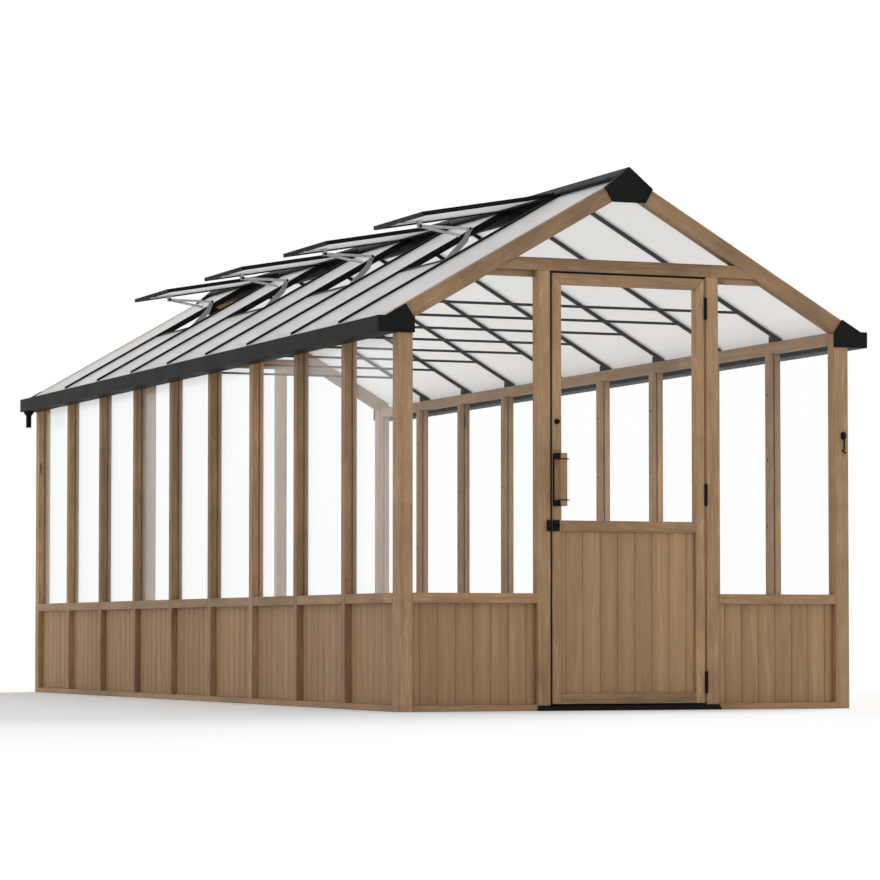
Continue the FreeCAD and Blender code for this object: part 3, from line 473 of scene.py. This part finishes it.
@dataclass(frozen=True)
class ClearPane:
    """Clear glazing that mirrors the bright surroundings on its weather side, more at a flat angle."""

    name: str = "clear_pane"
    tint: Colour = (0.997, 0.999, 0.998)
    mirror: Colour = (0.96, 0.97, 0.97)
    head_on: float = 0.02
    facing_blend: float = 0.5
    falloff: float = 5.0
    roughness: float = 0.3

    def material(self) -> bpy.types.Material:
        """Build the glazing from a see-through and a mirror shader.

        Returns:
            The finished material.
        """
        graph = Graph(bpy.data.materials.new(self.name))
        facing = graph.add("LayerWeight", {"Blend": self.facing_blend}).outputs["Facing"]
        share = graph.span(graph.math("POWER", facing, self.falloff), UNIT, (self.head_on, 1.0))
        normal = graph.add("NewGeometry").outputs["Normal"]
        place = graph.add("TexCoord").outputs["Object"]
        facing_out = graph.add("VectorMath", {0: normal, 1: place}, operation="DOT_PRODUCT").outputs["Value"]
        outside = graph.math("GREATER_THAN", facing_out, 0.0)
        through = graph.add("BsdfTransparent", {"Color": (*self.tint, 1.0)})
        gloss = graph.add("BsdfGlossy", {"Color": (*self.mirror, 1.0), "Roughness": self.roughness})
        return graph.surface(graph.layered(graph.math("MULTIPLY", share, outside), through, gloss))


@dataclass(frozen=True)
class GalvanisedSteel:
    """Dull grey metal with a faint brushed cloud, darker by each part's tone, which is painted shade on the
    opener arms.
    """

    name: str = "grey_steel"
    pale: Colour = (0.66, 0.66, 0.655)
    dull: Colour = (0.46, 0.46, 0.46)
    # Lightness over the tone; the arms' low tone here gives painted shade.
    tones: Span = (0.45, 1.05)
    cloud_scale: float = 60.0
    brushing: Triple = (1.0, 6.0, 1.0)
    roughness: Span = (0.36, 0.5)
    metallic: float = 0.55

    def material(self) -> bpy.types.Material:
        """Build the metal.

        Returns:
            The finished material.
        """
        graph = Graph(bpy.data.materials.new(self.name))
        place = graph.add("TexCoord").outputs["Object"]
        tone = graph.add("Attribute", attribute_name=TONE).outputs["Fac"]
        cloud = graph.noise(graph.stretch(place, self.brushing), self.cloud_scale)
        colour = graph.blend(graph.span(cloud, CLOUD, UNIT), self.dull, self.pale)
        shader = graph.add("BsdfPrincipled", {
            "Base Color": graph.shaded(colour, graph.span(tone, UNIT, self.tones)),
            "Roughness": graph.span(cloud, WIDE_CLOUD, self.roughness),
            "Metallic": self.metallic})
        return graph.surface(shader)


@dataclass
class Finishes:
    """The finished materials, one for each slot."""

    by_slot: dict[Slot, bpy.types.Material] = field(default_factory=dict)

    def build(self) -> None:
        """Make all the materials."""
        makers = {Slot.TIMBER: StainedTimber(), Slot.COAT: PowderCoat(), Slot.SHEET: RoofSheet(),
                  Slot.PANE: ClearPane(), Slot.STEEL: GalvanisedSteel()}
        for slot, maker in makers.items():
            self.by_slot[slot] = maker.material()

    def paint(self, piece: bpy.types.Object, slot: Slot) -> None:
        """Give a piece the finish of a slot.

        Args:
            piece: the piece.
            slot: material slot of the record.
        """
        piece.data.materials.clear()
        piece.data.materials.append(self.by_slot[slot])


def shells(bm: bmesh.types.BMesh) -> list[list[bmesh.types.BMVert]]:
    """Separate solids of a mesh.

    Args:
        bm: the mesh.

    Returns:
        The vertices of each connected part, in a fixed order.
    """
    bm.verts.ensure_lookup_table()
    seen: set[int] = set()
    found = []
    for start in bm.verts:
        if start.index in seen:
            continue
        seen.add(start.index)
        shell, waiting = [], [start]
        while waiting:
            vert = waiting.pop()
            shell.append(vert)
            for edge in vert.link_edges:
                other = edge.other_vert(vert)
                if other.index not in seen:
                    seen.add(other.index)
                    waiting.append(other)
        found.append(shell)
    return found


def extent(verts: bmesh.types.BMVertSeq | list[bmesh.types.BMVert]) -> tuple[Vector, Vector]:
    """Box around some vertices.

    Args:
        verts: the vertices.

    Returns:
        Its lowest and highest corner.
    """
    low, high = (Vector([pick(vert.co[axis] for vert in verts) for axis in range(3)]) for pick in (min, max))
    return low, high


def grain_axes(shell: list[bmesh.types.BMVert]) -> Matrix:
    """Axes of a timber piece, with its longest edge first.

    Args:
        shell: vertices of one piece.

    Returns:
        A matrix whose rows are the three axes.
    """
    longest = max((edge for vert in shell for edge in vert.link_edges), key=lambda edge: edge.calc_length())
    along = (longest.verts[1].co - longest.verts[0].co).normalized()
    side = along.cross(Vector((0, 0, 1)) if abs(along.z) < UPRIGHT else Vector((0, 1, 0))).normalized()
    return Matrix((along, side, along.cross(side)))


def new_piece(name: str, bm: bmesh.types.BMesh) -> bpy.types.Object:
    """Turn an edited mesh into an object with soft round faces and hard corners.

    Args:
        name: name of the piece.
        bm: its mesh, which is freed.

    Returns:
        The new object.
    """
    mesh = bpy.data.meshes.new(name)
    bm.to_mesh(mesh)
    bm.free()
    mesh.shade_smooth()
    mesh.set_sharp_from_angle(angle=HARD_ANGLE)
    piece = bpy.data.objects.new(name, mesh)
    bpy.context.scene.collection.objects.link(piece)
    return piece


def keep_grain(piece: bpy.types.Object, seed: int, tones: Span) -> None:
    """Store on each timber piece its own grain direction, place in the tree and tone; the tone also carries
    painted light on the sills and painted shade on the steel opener arms.

    Args:
        piece: object whose connected parts are timbers.
        seed: start of the random draws.
        tones: darkest and lightest tone of the pieces, from 0 to 1, and above that for boards.
    """
    draw = random.Random(seed)
    bm = bmesh.new()
    bm.from_mesh(piece.data)
    grain = bm.verts.layers.float_vector.new(GRAIN)
    tone = bm.verts.layers.float.new(TONE)
    for shell in shells(bm):
        axes = grain_axes(shell)
        offset = Vector([draw.uniform(0, reach) for reach in (TREE_LENGTH, TREE_WIDTH, TREE_WIDTH)])
        shade = draw.uniform(*tones)
        for vert in shell:
            vert[grain] = axes @ vert.co + offset
            vert[tone] = shade
    bm.to_mesh(piece.data)
    bm.free()


def eased_copy(node: str, ease: float) -> bpy.types.Object:
    """Copy of a CAD node with its hard edges eased, which then stands for the node.

    Args:
        node: name of the CAD node.
        ease: width of the eased edge.

    Returns:
        The copy, riding on the node's body.
    """
    source = frame["nodes"][node]
    bm = bmesh.new()
    bm.from_mesh(source.data)
    bmesh.ops.remove_doubles(bm, verts=bm.verts, dist=WELD)
    bmesh.ops.dissolve_limit(bm, angle_limit=FLAT_ANGLE, verts=bm.verts, edges=bm.edges)
    low, high = extent(bm.verts)
    hard = [edge for edge in bm.edges if len(edge.link_faces) == 2 and edge.calc_face_angle(0.0) > HARD_ANGLE]
    bmesh.ops.bevel(bm, geom=hard, offset=ease, segments=EASE_SEGMENTS, affect="EDGES", clamp_overlap=True)
    for vert in bm.verts:
        vert.co = [min(max(place, least), most) for place, least, most in zip(vert.co, low, high)]
    piece = new_piece(f"{node}_eased", bm)
    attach(piece, source["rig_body"])
    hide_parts(node)
    return piece


def boxes(name: str, spans: list[tuple[Vector, Vector]]) -> bpy.types.Object:
    """Upright boxes as one object.

    Args:
        name: name of the piece.
        spans: lowest and highest corner of each box.

    Returns:
        The new object.
    """
    bm = bmesh.new()
    for low, high in spans:
        place = Matrix.Translation((low + high) / 2) @ Matrix.Diagonal((*(high - low), 1.0))
        bmesh.ops.create_cube(bm, size=1.0, matrix=place)
    return new_piece(name, bm)


def screw_heads(name: str, places: list[Vector], axis: Axis, radius: float) -> bpy.types.Object:
    """Round screw heads with a sunk drive, all facing one way.

    Args:
        name: name of the piece.
        places: seats of the heads on the surface.
        axis: way that the heads face.
        radius: radius of a head.

    Returns:
        One object with all the heads.
    """
    turn = Vector((0, 0, 1)).rotation_difference(Vector(axis.value)).to_matrix()
    bm = bmesh.new()
    for place in places:
        rings = []
        for reach, rise in HEAD_PROFILE:
            ring = []
            for step in range(HEAD_STEPS):
                angle = math.tau * step / HEAD_STEPS
                spot = Vector((reach * math.cos(angle), reach * math.sin(angle), rise)) * radius
                ring.append(bm.verts.new(place + turn @ spot))
            rings.append(ring)
        bm.faces.new(rings[0])
        for inner, outer in zip(rings, rings[1:]):
            for step in range(HEAD_STEPS):
                after = (step + 1) % HEAD_STEPS
                bm.faces.new((inner[step], outer[step], outer[after], inner[after]))
        bm.faces.new(list(reversed(rings[-1])))
    bmesh.ops.recalc_face_normals(bm, faces=bm.faces)
    return new_piece(name, bm)


@dataclass
class Assembly:
    """CAD nodes that share a make and are dressed together."""

    finishes: Finishes
    eased: dict[str, tuple[Slot, float]] = field(default_factory=dict)
    plain: dict[str, Slot] = field(default_factory=dict)

    def dress(self) -> None:
        """Ease and paint the nodes of this assembly."""
        for number, (node, (slot, ease)) in enumerate(self.eased.items()):
            piece = eased_copy(node, ease)
            if slot is Slot.TIMBER:
                # Timber takes its tone span by node, and the sills' raised span is painted light.
                tones = BOARD_TONES if node.endswith("boards") else NODE_TONES_AND_PAINTED_LIGHT.get(node, FRAME_TONES)
                keep_grain(piece, sum(map(ord, node)) + number, tones)
            elif slot is Slot.STEEL:
                # Steel parts take their tone from the table, whose low arm tone is painted shade.
                tone = STEEL_TONES_AND_PAINTED_SHADE[node.split("_")[-1]]
                keep_grain(piece, number, (tone, tone))
            self.finishes.paint(piece, slot)
            LOG.info("%s: eased", piece.name)
        for node, slot in self.plain.items():
            self.finishes.paint(frame["nodes"][node], slot)
            LOG.info("%s: painted", node)

    def add_screws(self, name: str, body: str, places: list[Vector], axis: Axis, radius: float) -> None:
        """Set screw heads on a body.

        Args:
            name: name of the piece.
            body: CAD body that carries them.
            places: seats of the heads.
            axis: way that they face.
            radius: radius of a head.
        """
        piece = screw_heads(name, places, axis, radius)
        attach(piece, body)
        self.finishes.paint(piece, Slot.COAT)
        LOG.info("%s: %d heads", name, len(places))

    def add_trim(self, piece: bpy.types.Object, slot: Slot) -> None:
        """Fix a piece of trim to the frame and paint it.

        Args:
            piece: the trim.
            slot: its material slot.
        """
        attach(piece, "frame")
        self.finishes.paint(piece, slot)
        LOG.info("%s: added", piece.name)


@dataclass
class Walls(Assembly):
    """Timber frame, boards and panes of the four walls."""

    timber_ease: float = 2.0 * MM
    board_ease: float = 0.8 * MM
    inner_face: float = 1.070
    first_stud: float = -2.29567
    stud_pitch: float = 0.663333
    studs: int = 8
    screw_heights: tuple[float, ...] = (0.87, 1.19, 1.51)
    screw_radius: float = 5.5 * MM
    seal_wide: float = 2.2 * MM
    seal_deep: float = 4.0 * MM

    def build(self) -> None:
        """Dress the walls, and add the screws and seals that hold the panes."""
        frame_nodes = ("sills", "corner_posts", "side_studs", "gable_posts", "mid_rails", "tie_beams",
                       "gable_rafters", "wall_plates")
        self.eased = {node: (Slot.TIMBER, self.timber_ease) for node in frame_nodes}
        self.eased |= {node: (Slot.TIMBER, self.board_ease) for node in ("side_boards", "gable_boards")}
        self.plain = {"side_panes": Slot.PANE, "gable_panes": Slot.PANE}
        self.dress()
        for side, axis in ((-1, Axis.RIGHT), (1, Axis.LEFT)):
            places = [Vector((side * self.inner_face, self.first_stud + self.stud_pitch * stud, height))
                      for stud in range(self.studs) for height in self.screw_heights]
            self.add_screws(f"stud_screws_{'left' if side < 0 else 'right'}", "frame", places, axis,
                            self.screw_radius)
        self.line_panes()

    def line_panes(self) -> None:
        """Slim dark seal along both upright edges of each side pane."""
        bm = bmesh.new()
        bm.from_mesh(frame["nodes"]["side_panes"].data)
        bmesh.ops.remove_doubles(bm, verts=bm.verts, dist=WELD)
        spans = []
        for shell in shells(bm):
            low, high = extent(shell)
            inner = high.x if high.x < 0 else low.x
            sides = sorted((inner, inner - math.copysign(self.seal_wide, inner)))
            for start, end in ((low.y, low.y + self.seal_deep), (high.y - self.seal_deep, high.y)):
                spans.append((Vector((sides[0], start, low.z)), Vector((sides[1], end, high.z))))
        bm.free()
        self.add_trim(boxes("pane_seals", spans), Slot.COAT)


@dataclass
class Roof(Assembly):
    """Bars, sheets, ridge and ties of the roof."""

    metal_ease: float = 1.2 * MM
    bar_ease: float = 0.8 * MM

    def build(self) -> None:
        """Dress the roof."""
        bars = ("roof_bars", "collar_ties", "vent_trimmers")
        fittings = ("ridge_cap", "ridge_end_caps", "bar_feet")
        self.eased = {node: (Slot.COAT, self.bar_ease) for node in bars}
        self.eased |= {node: (Slot.COAT, self.metal_ease) for node in fittings}
        self.plain = {"ridge_beam": Slot.COAT, "roof_sheets": Slot.SHEET, "opener_bases": Slot.STEEL}
        self.dress()


@dataclass
class RainGoods(Assembly):
    """Gutters, their end caps and outlets."""

    cap_ease: float = 1.5 * MM

    def build(self) -> None:
        """Dress the rain goods."""
        self.eased = {"eave_caps": (Slot.COAT, self.cap_ease)}
        self.plain = {"gutters": Slot.COAT, "gutter_outlets": Slot.COAT}
        self.dress()


@dataclass
class Door(Assembly):
    """Half-boarded door with its hinges, handle, latch and hold-open hook."""

    timber_ease: float = 2.0 * MM
    board_ease: float = 0.8 * MM
    metal_ease: float = 0.6 * MM
    opening_half: float = 0.392
    opening_top: float = 1.992
    leaf_bottom: float = 0.030
    gap: float = 10.0 * MM
    seal_clear: float = 1.0 * MM
    seal_setback: float = 7.0 * MM
    stop_setback: float = 2.5 * MM
    stop_half: float = 2.0 * MM
    stop_seed: int = 1
    seal_depth: float = 20.0 * MM

    def build(self) -> None:
        """Dress the door and its ironmongery, and fill the gap around the leaf."""
        timbers = ("door_stiles", "door_rails", "handle_bar")
        fittings = ("handle_mounts", "latch_case", "latch_keeper", "latch_bolt", "threshold")
        ironwork = ("hold_open_eye", "hook_base", "hold_open_hook", "hinge_post_leaves", "hinge_door_leaves",
                    "hinge_pins")
        self.eased = {node: (Slot.TIMBER, self.timber_ease) for node in timbers}
        self.eased["door_boards"] = (Slot.TIMBER, self.board_ease)
        self.eased |= {node: (Slot.COAT, self.metal_ease) for node in fittings}
        self.plain = {"door_pane": Slot.PANE}
        self.plain |= {node: Slot.COAT for node in ironwork}
        self.dress()
        self.fill_gap()

    def fill_gap(self) -> None:
        """Dark seal at the latch side and the head, and a timber stop at the hinge side."""
        side, top = self.opening_half, self.opening_top
        fill = self.gap - self.seal_clear
        face = FRONT_FACE + self.seal_setback
        seal = boxes("door_seal", [
            (Vector((-side, face, self.leaf_bottom)), Vector((-side + fill, face + self.seal_depth, top))),
            (Vector((-side + fill, face, top - fill)), Vector((side, face + self.seal_depth, top)))])
        middle = side - self.gap / 2
        face = FRONT_FACE + self.stop_setback
        stop = boxes("door_stop", [
            (Vector((middle - self.stop_half, face, self.leaf_bottom)),
             Vector((middle + self.stop_half, face + self.seal_depth, top - fill)))])
        keep_grain(stop, self.stop_seed, FRAME_TONES)
        self.add_trim(seal, Slot.COAT)
        self.add_trim(stop, Slot.TIMBER)


@dataclass
class Vent(Assembly):
    """One roof vent with the arms of its opener, whose pins are given as place across and height."""

    number: int = 1
    rail_ease: float = 1.2 * MM
    arm_ease: float = 0.6 * MM
    first_middle: float = -1.964
    pitch: float = 1.326667
    base_pin: tuple[float, float] = (-0.534917, 2.075503)
    elbow: tuple[float, float] = (-0.357917, 2.295003)
    bracket_pin: tuple[float, float] = (-0.617985, 2.297174)
    base_half: float = 8.0 * MM
    elbow_front: float = 8.0 * MM
    elbow_rear: float = 2.5 * MM
    bracket_half: float = 13.5 * MM
    bolt_radius: float = 7.0 * MM

    def build(self) -> None:
        """Dress the vent and its opener, and add the heads of its three pivots."""
        name = f"vent_{self.number}"
        self.eased = {f"{name}_frame": (Slot.COAT, self.rail_ease)}
        self.eased |= {f"{name}_{part}": (Slot.STEEL, self.arm_ease) for part in ("arm", "links", "bracket")}
        self.plain = {f"{name}_sheet": Slot.SHEET}
        self.dress()
        middle = self.first_middle + self.pitch * (self.number - 1)
        pivots = ((f"{name}_base_bolt", "frame", self.base_pin, self.base_half, self.base_half),
                  (f"{name}_elbow_bolt", f"{name}_arm", self.elbow, self.elbow_front, self.elbow_rear),
                  (f"{name}_bracket_bolt", name, self.bracket_pin, self.bracket_half, self.bracket_half))
        for bolt, body, (across, height), front, rear in pivots:
            for axis, place in ((Axis.FRONT, middle - front), (Axis.REAR, middle + rear)):
                self.add_screws(f"{bolt}_{axis.name.lower()}", body, [Vector((across, place, height))], axis,
                                self.bolt_radius)


@dataclass
class Studio:
    """Floor, light and camera."""

    floor_half: float = 60.0
    floor_colour: Colour = (0.90, 0.90, 0.90)
    floor_lift: float = 0.12
    sky: float = 0.66
    key_energy: float = 3.0
    key_angle: float = 42.0
    key_from: Triple = (0.85, 0.5, 0.36)
    eye: Triple = (-6.76068, -17.54319, 0.33731)
    yaw: float = 0.381405
    pitch: float = 0.045374
    lens: float = 143.737
    sensor: float = 36.0
    far_end: float = 300.0
    shift_up: float = 0.04139

    def build(self) -> None:
        """Set up the stage."""
        self.lay_floor()
        self.light()
        self.place_camera()
        bpy.context.scene.view_settings.view_transform = "Standard"

    def lay_floor(self) -> None:
        """Pale floor that keeps the shadow and turns white in full light."""
        graph = Graph(bpy.data.materials.new("studio_floor"))
        sight = graph.add("LightPath").outputs["Is Camera Ray"]
        flat = graph.add("BsdfDiffuse", {"Color": (*self.floor_colour, 1.0)})
        lift = graph.math("MULTIPLY", sight, self.floor_lift)
        glow = graph.add("Emission", {"Color": WHITE, "Strength": lift})
        both = graph.add("AddShader", {0: flat.outputs[0], 1: glow.outputs[0]})
        half = self.floor_half
        corners = ((-half, -half), (half, -half), (half, half), (-half, half))
        bm = bmesh.new()
        bm.faces.new([bm.verts.new((x, y, 0.0)) for x, y in corners])
        floor = new_piece("studio_floor", bm)
        floor.data.materials.append(graph.surface(both))

    def light(self) -> None:
        """Even white surroundings and one large soft key light from the right."""
        world = bpy.data.worlds.new("studio_sky")
        bpy.context.scene.world = world
        graph = Graph(world)
        rays = graph.add("LightPath").outputs
        seen = rays["Is Camera Ray"]
        for name in ("Is Glossy Ray", "Is Transmission Ray"):
            seen = graph.math("MAXIMUM", seen, rays[name])
        level = graph.span(seen, UNIT, (self.sky, 1.0))
        background = graph.add("Background", {"Color": WHITE, "Strength": level})
        graph.add("OutputWorld", {"Surface": background.outputs[0]})
        key = bpy.data.lights.new("key_light", "SUN")
        key.energy = self.key_energy
        key.angle = math.radians(self.key_angle)
        lamp = bpy.data.objects.new("key_light", key)
        lamp.rotation_euler = Vector(self.key_from).to_track_quat("Z", "Y").to_euler()
        bpy.context.scene.collection.objects.link(lamp)

    def place_camera(self) -> None:
        """Camera at the photograph's place and angle."""
        data = bpy.data.cameras.new("camera")
        data.sensor_width = self.sensor
        data.lens = self.lens
        data.shift_y = self.shift_up
        data.clip_end = self.far_end
        camera = bpy.data.objects.new("camera", data)
        camera.location = self.eye
        camera.rotation_euler = (math.pi / 2 + self.pitch, 0.0, -self.yaw)
        bpy.context.scene.collection.objects.link(camera)
        bpy.context.scene.camera = camera


def main() -> None:
    """Build every assembly in order, then the studio."""
    logging.basicConfig(level=logging.INFO, format="%(name)s %(message)s")
    finishes = Finishes()
    finishes.build()
    for assembly in (Walls(finishes), Roof(finishes), RainGoods(finishes), Door(finishes)):
        assembly.build()
    for number in range(1, VENTS + 1):
        Vent(finishes, number=number).build()
    Studio().build()


if __name__ == "__main__":
    main()
